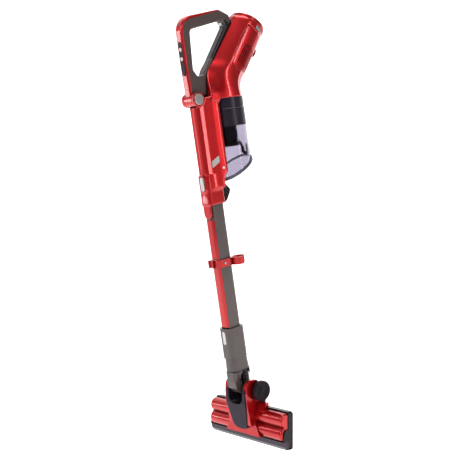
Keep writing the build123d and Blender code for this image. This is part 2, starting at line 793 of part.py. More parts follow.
def control_panel():
    """Dark panel in the front of the handle."""
    with BuildPart() as panel:
        with BuildSketch(Plane.XZ.offset(31.1)):
            with Locations((0, 882)):
                SlotOverall(85.4, 14.4, rotation=90)
        extrude(amount=5.7)
        for z in (905, 882):
            rod(5.4, (0, -34, z), 30, "Y", Mode.SUBTRACT)
    return panel


def panel_button(height):
    """Round button of the control panel."""
    with BuildPart() as button:
        rod(5.1, (0, -35.6, height), 4, "Y")
        fillet(button.faces().sort_by(Axis.Y)[0].edges(), 0.8)
    return button


def handle_latch():
    """Small silver slider at the top of the handle that locks it to the body."""
    with BuildPart() as latch:
        block((-5, 5), (108, 125), (958.4, 967.6))
        fillet(latch.edges().filter_by(Axis.X), 2)
    return latch


# ================================================================= floor head (drawn before it is leaned)
HALF = HEAD_W / 2
REAR_LOBE = (34, -67, 19)
FRONT_LOBE = (34, -102, 20)
MOUTH = (-119, -84)
BRUSH_Z = -101.5
BRUSH_Y = 37
MOTOR_Y = 39.5
ROLLER_X = 46


def lobes(inset, half):
    """The two round ridges that run along the width of the head, with softened ends."""
    for y, z, radius in (REAR_LOBE, FRONT_LOBE):
        with BuildPart(mode=Mode.PRIVATE) as ridge:
            rod(radius - inset, (0, y, z), 2 * half, "X")
            fillet(ridge.edges().filter_by(GeomType.CIRCLE), 6 - inset)
        add(ridge.part)
    block((-half, half), (26 + inset, 60), (-118 + inset, -52 - inset))


HUMP_SIDE = [(-13, -34), (-15.5, -8), (-14, 16), (-4, 29), (20, 29), (42, 16), (42, -94), (2, -94)]
FOOT_FRONT = [(-42, -40), (-44, -80), (-66, -120.5), (66, -120.5), (44, -80), (42, -40)]


def hump(inset):
    """Raised middle of the head, shrunk evenly by an inset."""
    side_plate([(y + inset * (1 if y < 10 else -1), z - (inset if z > 10 else 0)) for y, z in HUMP_SIDE],
               (-42 + inset, 42 - inset), [(1, 10), (3, 8), (5, 8)])
    with BuildSketch(Plane.XZ.offset(-40)) as foot:
        with BuildLine():
            Polyline(*FOOT_FRONT, close=True)
        make_face()
        if inset:
            offset(amount=-inset, mode=Mode.REPLACE)
    extrude(foot.sketch, amount=29 - inset)


def shield_outline(margin):
    """Front outline of the grey shield: straight top corners, narrowing to a rounded tongue."""
    with BuildSketch(Plane.XZ.offset(40)) as face:
        with BuildLine():
            Polyline((-36 - margin, 4), (-37 - margin, -40), (-25 - margin, -107 - margin),
                     (25 + margin, -107 - margin), (37 + margin, -40), (36 + margin, 4), close=True)
        make_face()
        fillet(face.vertices().group_by(Axis.Y)[0], 20)
        fillet(face.vertices().group_by(Axis.Y)[-1], 5)
    return face


def fork_slot(half, bottom):
    """Slot with a round bottom, cut from the top of the hump for the fork."""
    with BuildSketch(Plane.XZ.offset(40)) as slot:
        with BuildLine():
            Polyline((-half, 60), (-half, bottom), (half, bottom), (half, 60), close=True)
        make_face()
        fillet(slot.vertices().group_by(Axis.Y)[0], half * 0.75)
    extrude(slot.sketch, amount=-100, mode=Mode.SUBTRACT)


def head_cover():
    """Red top shell with its raised middle, its slot for the fork and the seat of the shield."""
    with BuildPart() as cover:
        lobes(0, HALF - 4)
        hump(0)
        # wing that links the hump to the rear ridge
        side_plate([(20, -50), (30, -31), (42, -31), (42, -60), (20, -60)], (-70, 70), [(0, 6)])
        block((-200, 200), (40, 80), (-200, 60), Mode.SUBTRACT)
        block((-200, 200), (0, 80), (-200, -121.5), Mode.SUBTRACT)
        with BuildPart(mode=Mode.PRIVATE) as inner:
            lobes(WALL, HALF - 4 - WALL)
            hump(WALL)
            block((-200, 200), (-50, 80), (-200, -119), Mode.SUBTRACT)
        add(inner.part, mode=Mode.SUBTRACT)
        # solid cheeks between the cradle and the wheels
        for side in (-1, 1):
            side_plate([(-12, -40), (-12, 20), (20, 20), (39, 8), (39, -40)], (side * 36.5 - 5.5, side * 36.5 + 5.5))
        fork_slot(30.6, -42)
        rod(3.1, (0, 0, 0), 80, "X", Mode.SUBTRACT)
        for side in (-1, 1):
            rod(4.1, (side * 40, 28, 0), 30, "X", Mode.SUBTRACT)
        # seat of the shield, cut to the slope of the hump
        with BuildPart(mode=Mode.PRIVATE) as seat:
            extrude(shield_outline(0.4).sketch, amount=-60)
            side_plate(SHIELD_SLOPE + [(-60, -112), (-60, 10)], (-60, 60), mode=Mode.INTERSECT)
        add(seat.part, mode=Mode.SUBTRACT)
    return cover


SHIELD_SLOPE = [(-13, 10), (-13, -34), (3.4, -94), (9.5, -112)]


def head_shield():
    """Grey plate on the front of the hump, down to the front ridge."""
    with BuildPart() as shield:
        extrude(shield_outline(0).sketch, amount=-60)
        side_plate([(-13.1, 4), (-13.1, -34), (3.3, -94), (9.4, -112), (6.8, -112), (0.6, -95), (-16, -35),
                    (-17.5, -8), (-16.5, 4)], (-60, 60), mode=Mode.INTERSECT)
        fork_slot(26.6, -38)
    return shield


def pivot_cradle():
    """Black U-shaped lining of the slot that carries the pivot pins and the end of the hose."""
    with BuildPart() as cradle:
        side_plate([(-10.7, -41), (-12.8, -33.8), (-12.8, 16), (-6, 25), (22, 25), (39.9, 12), (39.9, -41)],
                   (-30.4, 30.4))
        with BuildSketch(Plane.XZ.offset(60)) as keep:
            with BuildLine():
                Polyline((-30.4, 60), (-30.4, -41.6), (30.4, -41.6), (30.4, 60), close=True)
            make_face()
            fillet(keep.vertices().group_by(Axis.Y)[0], 22.6)
        extrude(keep.sketch, amount=-120, mode=Mode.INTERSECT)
        fork_slot(26.8, -37.6)
        rod(3.05, (0, 0, 0), 80, "X", Mode.SUBTRACT)
        rod(10.5, (0, 27.5, -40), 20, "Z", Mode.SUBTRACT)
    return cradle


def head_base():
    """Dark lower tray of the head."""
    with BuildPart() as base:
        block((-HALF + 2, HALF - 2), (40, 54), (-141, -44))
        fillet(base.edges().filter_by(Axis.Y), 6)
        block((-44, 44), (40, 54), (-50, 10))
        block((-HALF + 7, HALF - 7), (39, 51.5), (-118, -50), Mode.SUBTRACT)
        block((-38, 38), (39, 51.5), (-60, 4), Mode.SUBTRACT)
        block((-HALF + 12, HALF - 12), (39, 60), MOUTH, Mode.SUBTRACT)
        for x in (-ROLLER_X, ROLLER_X):
            block((x - 8, x + 8), (50, 60), (-74, -58), Mode.SUBTRACT)
        # bearings of the roller
        for x in (-134.6, 134.6):
            block((x - 3.4, x + 3.4), (28, 53), (-112, -91))
        rod(3.05, (0, BRUSH_Y, BRUSH_Z), 2 * HALF - 17, "X", Mode.SUBTRACT)
    return base


def sole_plate():
    """Thin bright plate round the suction mouth."""
    with BuildPart() as sole:
        block((-HALF, HALF), (54, SOLE_Y), (-143.5, -46))
        fillet(sole.edges().filter_by(Axis.Y), 7)
        block((-HALF + 12, HALF - 12), (50, 60), MOUTH, Mode.SUBTRACT)
        for x in (-ROLLER_X, ROLLER_X):
            block((x - 8, x + 8), (50, 60), (-74, -58), Mode.SUBTRACT)
        # comb teeth along the front edge let crumbs in
        with GridLocations(26, 1, 10, 1):
            with Locations((0, 55, -142)):
                Box(12, 4, 8, mode=Mode.SUBTRACT)
    return sole


def head_bumper():
    """Dark soft bar across the front of the head."""
    with BuildPart() as bumper:
        side_plate([(22, -121.6), (25, -134), (34, -143), (40, -143), (54, -143), (54, -141.2), (39.9, -141.2),
                    (39.9, -121.6)], (-HALF + 1, HALF - 1), [(1, 10)])
        block((-HALF + 4, HALF - 4), (28.5, 38.5), (-136, -121.6), Mode.SUBTRACT)
    return bumper


def end_caps():
    """Black end pieces at the front corners of the head."""
    with BuildPart() as caps:
        for x in (-HALF + 0.4, HALF - 3.8):
            side_plate([(24, -96), (21, -121.4), (39.9, -121.4), (39.9, -90), (30, -90)], (x, x + 3.4), [(0, 6)])
    return caps


def head_wheel(side):
    """Large rear wheel with raised rings and a closed hub."""
    face = 62
    with BuildPart() as wheel:
        rod(27, (side * 54.5, 28, 0), 15, "X")
        fillet(wheel.edges().filter_by(GeomType.CIRCLE), 3)
        for outer, inner, depth in ((23, 18, 1.6), (15, 11, 1.6), (8, 4.5, 1.2)):
            with BuildPart(mode=Mode.PRIVATE) as groove:
                rod(outer, (side * face, 28, 0), 2 * depth, "X")
                rod(inner, (side * face, 28, 0), 2 * depth + 1, "X", Mode.SUBTRACT)
            add(groove.part, mode=Mode.SUBTRACT)
        rod(4.1, (side * 51.5, 28, 0), 13.4, "X", Mode.SUBTRACT)
    return wheel


def head_pins():
    """Steel pins of the fork pivot and of the two large wheels."""
    with BuildPart() as pins:
        for side in (-1, 1):
            rod(3, (side * 29, 0, 0), 20, "X")
            rod(4, (side * 47.9, 28, 0), 19.4, "X")
    return pins


def brush_roll():
    """Roller core with four spiral rows of bristle tufts."""
    half = HALF - 20
    tufts = 26
    with BuildPart() as roll:
        rod(11, (0, BRUSH_Y, BRUSH_Z), 2 * half, "X")
        rod(3, (0, BRUSH_Y, BRUSH_Z), 2 * half + 22, "X")
        seats = []
        for row in range(4):
            for tuft in range(tufts):
                x = -half + 13 + tuft * (2 * half - 22) / (tufts - 1)
                turn = row * 90 + tuft * 9
                seats.append(Location((x, BRUSH_Y, BRUSH_Z), (turn, 0, 0)) * Location((0, 0, 12.5)))
        with Locations(*seats):
            Box(4.5, 2.2, 7)
    return roll


def brush_motor():
    """Small motor in the rear ridge that drives the roller."""
    with BuildPart() as motor:
        rod(11.5, (-84, MOTOR_Y, -66), 60, "X")
        rod(2, (-116, MOTOR_Y, -66), 14, "X")
    return motor


def motor_pulley():
    """Toothed wheel on the shaft of the brush motor."""
    with BuildPart() as pulley:
        rod(5, (-120, MOTOR_Y, -66), 5, "X")
        rod(2.02, (-120, MOTOR_Y, -66), 20, "X", Mode.SUBTRACT)
    return pulley


def drive_belt():
    """Belt from the small motor to the roller."""
    x = -120
    with BuildPart() as belt:
        for grow, mode in ((1.2, Mode.ADD), (0.0, Mode.SUBTRACT)):
            with BuildSketch(Plane.YZ.offset(x - 2)):
                with BuildLine():
                    Polyline((MOTOR_Y - 5.05 - grow, -66), (BRUSH_Y - 11.05 - grow, BRUSH_Z),
                             (BRUSH_Y + 11.05 + grow, BRUSH_Z), (MOTOR_Y + 5.05 + grow, -66), close=True)
                make_face()
                with Locations((MOTOR_Y, -66)):
                    Circle(5.05 + grow)
                with Locations((BRUSH_Y, BRUSH_Z)):
                    Circle(11.05 + grow)
            extrude(amount=4, mode=mode)
    return belt


def sole_rollers():
    """Two small rollers let into the sole."""
    with BuildPart() as rollers:
        for x in (-ROLLER_X, ROLLER_X):
            rod(5, (x, 52.8, -66), 12, "X")
    return rollers


# ================================================================= write every piece
save(wand_tube(), "wand_tube")
save(wand_cover(), "wand_cover")
save(tool_clip(), "tool_clip")
save(clip_screw(), "clip_screw")
save(neck_collar(), "neck_collar")
save(push_button(150, -29.5, 37, 11, 6), "neck_button")
save(swivel_ring(), "swivel_ring")
save(swivel_fork(), "swivel_fork")
save(bellows_hose(), "bellows_hose")
save(spine_shell(), "spine_shell")
save(push_button(561, -29.5, 37, 15, 4), "wand_button")
save(motor_housing(), "motor_housing")
save(motor_cap(), "motor_cap", HOUSING)
save(cap_latch(), "cap_latch", HOUSING)
save(vent_panels(), "vent_panels", HOUSING)
save(exhaust_filter(), "exhaust_filter", HOUSING)
save(motor_mount(), "motor_mount", HOUSING)
save(suction_motor(), "suction_motor", HOUSING)
save(impeller(), "impeller", HOUSING)
save(handle_liner(), "handle_liner", HOUSING)
save(battery_cells(), "battery_cells")
save(battery_holder(), "battery_holder")
save(circuit_board(), "circuit_board")
save(air_duct(), "air_duct")
save(cup_lever(), "cup_lever")
save(hinge_pins(), "hinge_pins")
save(hinge_button(1), "hinge_button_right")
save(hinge_button(-1), "hinge_button_left")
save(side_badges(), "side_badges")
save(body_screws(), "body_screws")
save(dc_jack(), "dc_jack")
save(cup_collar(), "cup_collar")
save(dust_cup(), "dust_cup")
save(cup_ring(), "cup_ring")
save(cyclone_shroud(), "cyclone_shroud")
save(cup_filter(), "cup_filter")
save(cup_lid(), "cup_lid")
save(lid_rim(), "lid_rim")
save(lid_bracket(), "lid_bracket")
save(handle_shell(), "handle_shell")
save(handle_frame(), "handle_frame")
save(control_panel(), "control_panel")
save(panel_button(905), "power_button")
save(panel_button(882), "mode_button")
save(handle_latch(), "handle_latch")
save(head_cover(), "head_cover", HEAD)
save(head_shield(), "head_shield", HEAD)
save(pivot_cradle(), "pivot_cradle", HEAD)
save(head_base(), "head_base", HEAD)
save(sole_plate(), "sole_plate", HEAD)
save(head_bumper(), "head_bumper", HEAD)
save(end_caps(), "end_caps", HEAD)
save(head_wheel(1), "wheel_right", HEAD)
save(head_wheel(-1), "wheel_left", HEAD)
save(head_pins(), "head_pins", HEAD)
save(brush_roll(), "brush_roll", HEAD)
save(brush_motor(), "brush_motor", HEAD)
save(motor_pulley(), "motor_pulley", HEAD)
save(drive_belt(), "drive_belt", HEAD)
save(sole_rollers(), "sole_rollers", HEAD)
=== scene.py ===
"""Looks of the cordless stick vacuum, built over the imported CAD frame. Metres, row frame."""
import json
import math

import bmesh
import bpy
import numpy as np
import openvdb
from mathutils import Matrix, Vector


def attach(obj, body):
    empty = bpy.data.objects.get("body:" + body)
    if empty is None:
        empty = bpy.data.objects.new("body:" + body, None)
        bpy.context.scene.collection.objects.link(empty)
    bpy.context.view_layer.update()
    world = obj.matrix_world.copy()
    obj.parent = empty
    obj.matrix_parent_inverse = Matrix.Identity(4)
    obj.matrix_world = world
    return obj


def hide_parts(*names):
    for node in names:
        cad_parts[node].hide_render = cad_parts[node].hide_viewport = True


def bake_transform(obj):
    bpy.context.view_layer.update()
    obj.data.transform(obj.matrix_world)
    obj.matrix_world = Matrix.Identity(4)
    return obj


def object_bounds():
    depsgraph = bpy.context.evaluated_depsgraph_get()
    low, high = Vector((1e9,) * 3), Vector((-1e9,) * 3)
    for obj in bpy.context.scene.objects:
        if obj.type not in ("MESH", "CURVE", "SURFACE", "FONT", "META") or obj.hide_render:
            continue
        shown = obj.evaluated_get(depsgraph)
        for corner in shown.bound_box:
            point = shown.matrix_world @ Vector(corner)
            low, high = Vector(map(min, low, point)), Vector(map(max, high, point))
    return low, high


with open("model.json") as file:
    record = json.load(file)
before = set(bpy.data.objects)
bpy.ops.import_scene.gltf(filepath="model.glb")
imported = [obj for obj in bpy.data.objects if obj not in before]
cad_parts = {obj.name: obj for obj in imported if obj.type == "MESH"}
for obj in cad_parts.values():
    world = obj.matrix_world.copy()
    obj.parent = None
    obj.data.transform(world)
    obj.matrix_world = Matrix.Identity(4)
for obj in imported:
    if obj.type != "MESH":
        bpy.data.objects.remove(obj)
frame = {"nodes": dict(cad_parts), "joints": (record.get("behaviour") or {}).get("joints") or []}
size_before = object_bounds()
joints = {joint["name"]: joint for joint in frame["joints"]}
PIVOT = Vector(joints["head_pitch"]["pos_m"])
# foot of the tilted axis of the motor housing, in millimetres from the head pivot, and its tilt
HOUSING_FOOT = Vector((0, 110, 845))
TILT = math.radians(39.5)


def at(x, y, z):
    """A point given in millimetres from the head pivot, as the CAD source draws it."""
    return PIVOT + Vector((x, y, z)) / 1000


HOUSING_POINT = at(*HOUSING_FOOT)


# ---------------------------------------------------------------- materials
def new_material(name):
    """An empty node material with its Principled shader and output."""
    material = bpy.data.materials.new(name)
    material.use_nodes = True
    tree = material.node_tree
    shader = tree.nodes["Principled BSDF"]
    return material, tree, shader


def object_coords(tree):
    """Object coordinates, in metres."""
    coords = tree.nodes.new("ShaderNodeTexCoord")
    return coords.outputs["Object"]


def noise(tree, vector, scale, detail=3.0):
    """A noise texture; returns its grey output."""
    node = tree.nodes.new("ShaderNodeTexNoise")
    node.inputs["Scale"].default_value = scale
    node.inputs["Detail"].default_value = detail
    node.inputs["Roughness"].default_value = 0.5
    tree.links.new(vector, node.inputs["Vector"])
    return node.outputs["Fac"]


def ramp(tree, value, low, high):
    """Maps 0..1 to low..high as a plain number."""
    node = tree.nodes.new("ShaderNodeMapRange")
    node.inputs["To Min"].default_value = low
    node.inputs["To Max"].default_value = high
    tree.links.new(value, node.inputs["Value"])
    return node.outputs["Result"]


def mix_colors(tree, value, first, second):
    """Blends two colours by a grey value."""
    node = tree.nodes.new("ShaderNodeMix")
    node.data_type = "RGBA"
    node.inputs["A"].default_value = (*first, 1)
    node.inputs["B"].default_value = (*second, 1)
    tree.links.new(value, node.inputs["Factor"])
    return node.outputs["Result"]


def bump(tree, shader, height, strength, distance):
    """Adds relief from a grey value."""
    node = tree.nodes.new("ShaderNodeBump")
    node.inputs["Strength"].default_value = strength
    node.inputs["Distance"].default_value = distance
    tree.links.new(height, node.inputs["Height"])
    tree.links.new(node.outputs["Normal"], shader.inputs["Normal"])


def paint_crevice_shade(tree, color, distance, floor):
    """Painted shade: darkens a colour where other surfaces crowd it, in seams and crevices."""
    # painted shade: ambient occlusion darkens the base colour itself
    node = tree.nodes.new("ShaderNodeAmbientOcclusion")
    node.samples = 6
    node.inputs["Distance"].default_value = distance
    tree.links.new(color, node.inputs["Color"])
    depth = ramp(tree, node.outputs["AO"], floor, 1.0)
    shade = tree.nodes.new("ShaderNodeMix")
    shade.data_type = "RGBA"
    shade.blend_type = "MULTIPLY"
    shade.inputs["Factor"].default_value = 1
    tree.links.new(color, shade.inputs["A"])
    tree.links.new(depth, shade.inputs["B"])
    return shade.outputs["Result"]


def candy_red():
    """Metallic red lacquer: fine flakes under a clear coat, with slight orange peel."""
    material, tree, shader = new_material("candy_red")
    coords = object_coords(tree)
    flakes = tree.nodes.new("ShaderNodeTexVoronoi")
    flakes.inputs["Scale"].default_value = 2600
    tree.links.new(coords, flakes.inputs["Vector"])
    grey = tree.nodes.new("ShaderNodeRGBToBW")
    tree.links.new(flakes.outputs["Color"], grey.inputs["Color"])
    color = mix_colors(tree, grey.outputs["Val"], (0.28, 0.002, 0.004), (0.64, 0.007, 0.010))
    # painted shade: the red darkens in seams and crevices
    tree.links.new(paint_crevice_shade(tree, color, 0.010, 0.25), shader.inputs["Base Color"])
    shader.inputs["Metallic"].default_value = 0.75
    tree.links.new(ramp(tree, noise(tree, coords, 60), 0.26, 0.36), shader.inputs["Roughness"])
    shader.inputs["Coat Weight"].default_value = 0.6
    shader.inputs["Coat Roughness"].default_value = 0.05
    bump(tree, shader, noise(tree, coords, 380, 1.0), 0.03, 0.0004)
    return material


def warm_grey(tree, coords):
    """The grey of the plastic, slightly uneven."""
    return mix_colors(tree, noise(tree, coords, 25), (0.056, 0.040, 0.038), (0.078, 0.057, 0.053))


def satin_surface(tree, shader, coords, color):
    """Gives a colour the satin sheen and the fine spark-eroded grain of the grey plastic, and painted shade
    in its seams and crevices.
    """
    # painted shade: the colour darkens in seams and crevices
    tree.links.new(paint_crevice_shade(tree, color, 0.012, 0.3), shader.inputs["Base Color"])
    tree.links.new(ramp(tree, noise(tree, coords, 90), 0.2, 0.3), shader.inputs["Roughness"])
    shader.inputs["Specular IOR Level"].default_value = 0.5
    bump(tree, shader, noise(tree, coords, 2400, 2.0), 0.14, 0.0003)


def satin_grey():
    """Warm grey moulded plastic."""
    material, tree, shader = new_material("satin_grey")
    coords = object_coords(tree)
    satin_surface(tree, shader, coords, warm_grey(tree, coords))
    return material


def band(tree, coords, centre, direction, low, high):
    """One where the distance from a point along a direction lies between two limits, else zero."""
    offset = tree.nodes.new("ShaderNodeVectorMath")
    offset.operation = "SUBTRACT"
    offset.inputs[1].default_value = centre
    tree.links.new(coords, offset.inputs[0])
    along = tree.nodes.new("ShaderNodeVectorMath")
    along.operation = "DOT_PRODUCT"
    along.inputs[1].default_value = direction
    tree.links.new(offset.outputs["Vector"], along.inputs[0])
    inside = tree.nodes.new("ShaderNodeMath")
    inside.operation = "COMPARE"
    inside.inputs[1].default_value = (low + high) / 2
    inside.inputs[2].default_value = (high - low) / 2
    tree.links.new(along.outputs["Value"], inside.inputs[0])
    return inside.outputs["Value"]


def handle_grey():
    """The warm grey of the handle, with painted shade along the rear bar: near-black where the bar sits in
    the groove between the lips.
    """
    material, tree, shader = new_material("handle_grey")
    coords = object_coords(tree)
    grey = warm_grey(tree, coords)
    up_the_bar = (0, math.sin(TILT), math.cos(TILT))
    across_the_bar = (0, math.cos(TILT), -math.sin(TILT))
    lengthwise = band(tree, coords, HOUSING_POINT, up_the_bar, -0.012, 0.102)
    crosswise = band(tree, coords, HOUSING_POINT, across_the_bar, -0.078, -0.040)
    # painted shade: the rear bar of the loop, down in the groove, is coloured near-black
    bar_shade_mask = tree.nodes.new("ShaderNodeMath")
    bar_shade_mask.operation = "MULTIPLY"
    tree.links.new(lengthwise, bar_shade_mask.inputs[0])
    tree.links.new(crosswise, bar_shade_mask.inputs[1])
    with_bar_shade = mix_colors(tree, bar_shade_mask.outputs["Value"], (0, 0, 0), (0.014, 0.010, 0.012))
    tree.links.new(grey, with_bar_shade.node.inputs["A"])
    satin_surface(tree, shader, coords, with_bar_shade)
    return material


def black_plastic():
    """Near-black plastic with a soft sheen."""
    material, tree, shader = new_material("black_plastic")
    coords = object_coords(tree)
    color = mix_colors(tree, noise(tree, coords, 30), (0.010, 0.007, 0.011), (0.016, 0.011, 0.017))
    tree.links.new(color, shader.inputs["Base Color"])
    tree.links.new(ramp(tree, noise(tree, coords, 70), 0.22, 0.34), shader.inputs["Roughness"])
    shader.inputs["Specular IOR Level"].default_value = 0.18
    bump(tree, shader, noise(tree, coords, 1800, 2.0), 0.08, 0.0003)
    return material


def satin_silver():
    """Silver plated plastic, slightly brushed."""
    material, tree, shader = new_material("satin_silver")
    coords = object_coords(tree)
    color = mix_colors(tree, noise(tree, coords, 40), (0.42, 0.40, 0.39), (0.56, 0.54, 0.52))
    tree.links.new(color, shader.inputs["Base Color"])
    shader.inputs["Metallic"].default_value = 0.85
    tree.links.new(ramp(tree, noise(tree, coords, 500), 0.24, 0.36), shader.inputs["Roughness"])
    return material


def steel():
    """Plain machined steel."""
    material, tree, shader = new_material("steel")
    coords = object_coords(tree)
    color = mix_colors(tree, noise(tree, coords, 200), (0.42, 0.42, 0.43), (0.56, 0.56, 0.57))
    tree.links.new(color, shader.inputs["Base Color"])
    shader.inputs["Metallic"].default_value = 1.0
    tree.links.new(ramp(tree, noise(tree, coords, 600), 0.25, 0.4), shader.inputs["Roughness"])
    return material


def rubber():
    """Matt black rubber with a dusty bloom."""
    material, tree, shader = new_material("rubber")
    coords = object_coords(tree)
    color = mix_colors(tree, noise(tree, coords, 60), (0.010, 0.007, 0.010), (0.016, 0.011, 0.015))
    tree.links.new(color, shader.inputs["Base Color"])
    tree.links.new(ramp(tree, noise(tree, coords, 120), 0.4, 0.55), shader.inputs["Roughness"])
    shader.inputs["Specular IOR Level"].default_value = 0.12
    bump(tree, shader, noise(tree, coords, 1500, 2.0), 0.1, 0.0003)
    return material


def smoky_clear():
    """Thin tinted clear plastic with faint scuffs."""
    material, tree, shader = new_material("smoky_clear")
    coords = object_coords(tree)
    color = mix_colors(tree, noise(tree, coords, 12), (0.52, 0.49, 0.57), (0.63, 0.60, 0.68))
    tree.links.new(color, shader.inputs["Base Color"])
    shader.inputs["Transmission Weight"].default_value = 1.0
    shader.inputs["IOR"].default_value = 1.25
    tree.links.new(ramp(tree, noise(tree, coords, 160), 0.02, 0.08), shader.inputs["Roughness"])
    shader.inputs["Specular IOR Level"].default_value = 0.7
    return material


def pleated_paper():
    """Off-white filter paper."""
    material, tree, shader = new_material("filter_paper")
    coords = object_coords(tree)
    color = mix_colors(tree, noise(tree, coords, 80), (0.62, 0.60, 0.55), (0.75, 0.73, 0.68))
    tree.links.new(color, shader.inputs["Base Color"])
    shader.inputs["Roughness"].default_value = 0.9
    bump(tree, shader, noise(tree, coords, 900), 0.3, 0.0005)
    return material


def painted(name, dark, light, rough, gloss=0.5):
    """A simple coloured part whose colour and gloss vary slightly."""
    material, tree, shader = new_material(name)
    coords = object_coords(tree)
    tree.links.new(mix_colors(tree, noise(tree, coords, 50), dark, light), shader.inputs["Base Color"])
    spread = ramp(tree, noise(tree, coords, 150), rough - 0.06, rough + 0.06)
    tree.links.new(spread, shader.inputs["Roughness"])
    shader.inputs["Specular IOR Level"].default_value = gloss
    bump(tree, shader, noise(tree, coords, 1200), 0.08, 0.0003)
    return material


RED = candy_red()
GREY = satin_grey()
HANDLE_GREY = handle_grey()
BLACK = black_plastic()
SILVER = satin_silver()
STEEL = steel()
RUBBER = rubber()
CLEAR = smoky_clear()
PAPER = pleated_paper()
SHIELD = painted("shield_grey", (0.020, 0.012, 0.023), (0.028, 0.018, 0.031), 0.3, 0.12)
BUMPER = painted("bumper_smoke", (0.026, 0.018, 0.030), (0.038, 0.028, 0.042), 0.12, 0.3)
BELLOWS = painted("bellows_rubber", (0.006, 0.004, 0.006), (0.010, 0.008, 0.011), 0.22, 0.6)
CELL = painted("cell_wrap", (0.02, 0.08, 0.20), (0.03, 0.11, 0.26), 0.35)
BOARD = painted("board_green", (0.01, 0.07, 0.02), (0.02, 0.11, 0.04), 0.5)
BRISTLE = painted("bristle", (0.02, 0.02, 0.02), (0.06, 0.06, 0.06), 0.7)
CARD = painted("card_black", (0.004, 0.004, 0.004), (0.008, 0.008, 0.008), 0.9)
SMOKE = painted("smoke_black", (0.010, 0.006, 0.014), (0.018, 0.012, 0.024), 0.32, 0.25)
SMOKE_EDGE = painted("smoke_edge", (0.030, 0.024, 0.045), (0.06, 0.05, 0.08), 0.25)

FINISHES = {
    RED: ["spine_shell", "motor_housing", "motor_cap", "vent_panels", "handle_shell", "wand_cover",
          "tool_clip", "head_cover"],
    HANDLE_GREY: ["handle_frame"],
    GREY: ["handle_liner", "wand_tube", "neck_collar", "swivel_fork"],
    SHIELD: ["head_shield"],
    BUMPER: ["head_bumper"],
    SMOKE: ["cup_collar", "cup_ring", "cyclone_shroud"],
    BLACK: ["pivot_cradle", "cup_lever", "lid_bracket", "control_panel",
            "swivel_ring", "head_base", "end_caps", "motor_pulley", "battery_holder", "air_duct", "dc_jack"],
    SILVER: ["wand_button", "neck_button", "cap_latch", "hinge_button_right", "hinge_button_left",
             "side_badges", "handle_latch", "power_button", "mode_button", "sole_plate"],
    STEEL: ["hinge_pins", "head_pins", "clip_screw", "body_screws", "suction_motor", "brush_motor",
            "impeller"],
    RUBBER: ["bellows_hose", "drive_belt", "motor_mount", "wheel_right", "wheel_left", "sole_rollers"],
    CLEAR: ["dust_cup", "cup_lid"],
    SMOKE_EDGE: ["lid_rim"],
    PAPER: ["cup_filter", "exhaust_filter"],
    CELL: ["battery_cells"],
    BOARD: ["circuit_board"],
    BRISTLE: ["brush_roll"],
}

for finish, nodes in FINISHES.items():
    for node in nodes:
        piece = frame["nodes"][node]
        piece.data.materials.clear()
        piece.data.materials.append(finish)


# ---------------------------------------------------------------- body from distance fields
# Lengths in this section are millimetres from the head pivot, as the CAD source draws them.
GRID = 1.5
BODY_LOW = (-58, -42, 462)
BODY_HIGH = (58, 240, 990)
HOUSING_R = 48
HOUSING_TOP = 138
CUP_AXIS_Y = 88
CUP_SIDE_Y = 39
COLLAR_TOP = 772
BEND_Z = 818.3
BEND_LENGTH = 90
# wand socket at the bottom, with its tongue, release button and cup lever
SOCKET_Z = (505, 582)
SOCKET_CORNER_R = 8
SOCKET_HALF_X = 20.5
SOCKET_HALF_Y = 26.5
SOCKET_Y = 0.5
WAND_TOP = 545.5
WAND_CORNER_R = 10
WAND_HALF_X = 17.2
WAND_HALF_Y = 23.2
TONGUE_Z = 500
TONGUE_Y = (-25, -19)
BUTTON_Z = 561
BOSS_Y = (-28, -20)
BUTTON_SEAT_Y = -18.5
LEVER_Y = (20, 45)
LEVER_Z = (522, 562)
LEVER_HALF = 8.3
# hinge of the handle and the groove of its rear bar
HINGE_Y = -20
HINGE_Z = 777
HINGE_R = 18
EAR_X = 20
EAR_HALF = 5
KNUCKLE_HALF = 15
HINGE_BUTTON_R = 14.5
HINGE_BUTTON_X = (18, 29)
HANDLE_FOOT_Y = (-60, HINGE_Y)
HANDLE_FOOT_Z = (HINGE_Z - 19, 830)
HANDLE_HALF = 13.6
# wedge under the rear bar: depth in front of the housing axis and half width, low and high
WEDGE_START = -32
WEDGE_LENGTH = 158
WEDGE_HALF = 41
LIP_HALF = 15.8
LIP_LOW = 58
LIP_HIGH = 51.5
ROOT_LOW = 28
ROOT_HIGH = 22
SHOULDER_Z = (784, 838)
SHOULDER_DEPTH = 70
SHOULDER_HALF = 31
# places on the tilted housing: distance behind its axis and height along it
PANEL_GAP = 1.3
PANEL_SEAT_R = 47.9
PANEL_NEAREST_X = 20
WINDOW_BEHIND = (-14, 30)
WINDOW_ALONG = (6, 72)
WINDOW_NEAREST_X = 30
LATCH_X = (38.8, 55.8)
LATCH_BEHIND = (-2.6, 19.2)
LATCH_ALONG = (122.4, 135.6)
HOOK_HALF = 8
HOOK_BORE = 3.5
HOOK_CENTRE = (54.2, 92)
# top view of the front body, one half, from the narrow front to the shoulder
FLANK = [(0, -24.5), (12, -24), (18, -18), (21, -6), (30, 17), (34, 30), (37, 50), (30, 76), (0, 76)]
# side view (y, z) of the front body up to the hinge
SPINE_OUTLINE = [(-30, 545), (-30, 777), (-3, 779.5), (19, 781), (20, 786), (90, 786), (90, 772), (38, 771),
                 (38, 585), (28, 574), (24, 545)]
# side view of the groove that takes the rear bar of the handle
GROOVE = [(-90, 783), (20.9, 783), (27.9, 821.5), (31.6, 826.6), (129.6, 945.4), (139.2, 967), (134.4, 986),
          (134.4, 1100), (-90, 1100)]
# outlines of the louvre panel and of the hanging eye, in the tilted frame of the housing
PANEL = [(-23, 117), (24, 111), (31, 60), (26, 6), (-6, -7), (-21, 0), (-29, 71)]
EYE = [(40, 72), (46, 74), (53, 76), (60, 84), (60, 100), (53, 108), (46, 110), (40, 111)]


